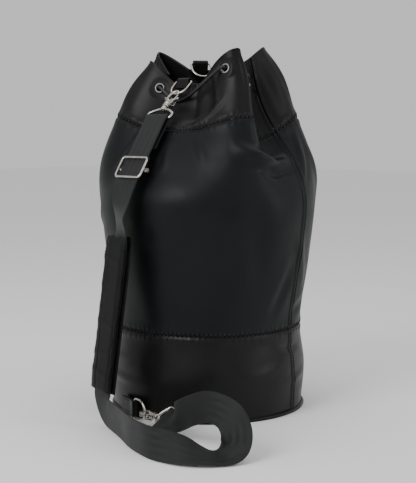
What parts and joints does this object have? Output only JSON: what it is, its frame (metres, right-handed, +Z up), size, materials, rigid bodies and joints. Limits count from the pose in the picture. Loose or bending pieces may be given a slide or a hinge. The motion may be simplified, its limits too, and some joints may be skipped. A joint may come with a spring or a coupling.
{
  "type": "drawstring duffel bag",
  "caption": "Leather drawstring duffel bag with a gathered collar, eyelets, D-rings and a webbing shoulder strap on swivel snaps.",
  "frame": {"origin": "centre of the underside of the base", "axes": "+Z up along the bag, -Y towards the side that carries the shoulder strap"},
  "size_m": [0.3965, 0.4186, 0.4968],
  "materials": {
    "body_leather": "smooth black leather, soft gloss",
    "band_leather": "smooth black leather, slightly glossier",
    "trim_leather": "black leather with cut edges",
    "board": "stiffening board, unseen",
    "webbing": "close woven black webbing",
    "pad_cloth": "padded black cloth",
    "nickel": "aged satin nickel",
    "spring_steel": "bright spring steel",
    "cord": "round black leather cord"
  },
  "bodies": {
    "bag": {"back_ring_tab": "trim_leather", "base_board": "board", "base_panel": "band_leather", "base_ring_tab": "trim_leather", "base_welt": "trim_leather", "body_front": "body_leather", "body_rear": "body_leather", "collar_front": "band_leather", "collar_rear": "band_leather", "drawstring": "cord", "drawstring_knot": "cord", "eyelet_1": "nickel", "eyelet_10": "nickel", "eyelet_2": "nickel", "eyelet_3": "nickel", "eyelet_4": "nickel", "eyelet_5": "nickel", "eyelet_6": "nickel", "eyelet_7": "nickel", "eyelet_8": "nickel", "eyelet_9": "nickel", "front_ring_tab": "trim_leather", "lower_band_front": "band_leather", "lower_band_rear": "band_leather", "pad_backing": "pad_cloth", "shoulder_pad": "pad_cloth", "strap_lower": "webbing", "strap_upper": "webbing"},
    "front_ring": {"front_ring": "nickel"},
    "back_ring": {"back_ring": "nickel"},
    "base_ring": {"base_ring": "nickel"},
    "top_loop": {"top_loop": "nickel"},
    "top_hook": {"top_hook": "nickel", "top_gate_pin": "nickel", "top_gate_spring": "spring_steel"},
    "top_gate": {"top_gate": "nickel"},
    "base_loop": {"base_loop": "nickel"},
    "base_hook": {"base_hook": "nickel", "base_gate_pin": "nickel", "base_gate_spring": "spring_steel"},
    "base_gate": {"base_gate": "nickel"},
    "slider": {"slider_frame": "nickel", "slider_bar": "nickel", "strap_end": "webbing"}
  },
  "joints": [
    {"name": "front_ring_swing", "type": "hinge", "parent": "bag", "child": "front_ring", "pos_m": [0, -0.04766, 0.45142], "axis": [-1, 0, 0], "range_deg": [0, 12]},
    {"name": "top_snap_lift", "type": "hinge", "parent": "bag", "child": "top_loop", "pos_m": [0, -0.04766, 0.45142], "axis": [-1, 0, 0], "range_deg": [0, 12], "deforming": ["strap_upper"]},
    {"name": "top_swivel", "type": "hinge", "parent": "top_loop", "child": "top_hook", "pos_m": [0, -0.08444, 0.41711], "axis": [0, 0.7312, 0.6822], "range_deg": [-15, 15]},
    {"name": "top_gate_press", "type": "hinge", "parent": "top_hook", "child": "top_gate", "pos_m": [0, -0.08177, 0.4289], "axis": [-1, 0, 0], "range_deg": [0, 26], "stiffness_Nm_per_rad": 0.02, "springref_deg": -20.05},
    {"name": "slider_travel", "type": "slide", "parent": "top_loop", "child": "slider", "axis": [0, 0.5574, 0.8302], "range_m": [-0.016, 0.016]},
    {"name": "back_ring_swing", "type": "hinge", "parent": "bag", "child": "back_ring", "pos_m": [-0.03478, 0.02259, 0.47846], "axis": [-0.5446, -0.8387, 0], "range_deg": [0, 130]},
    {"name": "base_ring_swing", "type": "hinge", "parent": "bag", "child": "base_ring", "pos_m": [0.004, -0.15, 0.0168], "axis": [0, 0, -1], "range_deg": [0, 10]},
    {"name": "base_snap_swing", "type": "hinge", "parent": "bag", "child": "base_loop", "pos_m": [0.004, -0.15, 0.0168], "axis": [0, 0, -1], "range_deg": [0, 10], "deforming": ["strap_lower"]},
    {"name": "base_swivel", "type": "hinge", "parent": "base_loop", "child": "base_hook", "pos_m": [0.05283, -0.16208, 0.0168], "axis": [-0.9707, 0.2402, 0], "range_deg": [-15, 15]},
    {"name": "base_gate_press", "type": "hinge", "parent": "base_hook", "child": "base_gate", "pos_m": [0.04149, -0.16628, 0.0168], "axis": [0, 0, -1], "range_deg": [0, 26], "stiffness_Nm_per_rad": 0.02, "springref_deg": -20.05}
  ],
  "couplings": [
    {"joint": "top_snap_lift", "follows": "front_ring_swing", "ratio": 1},
    {"joint": "base_snap_swing", "follows": "base_ring_swing", "ratio": 1}
  ]
}
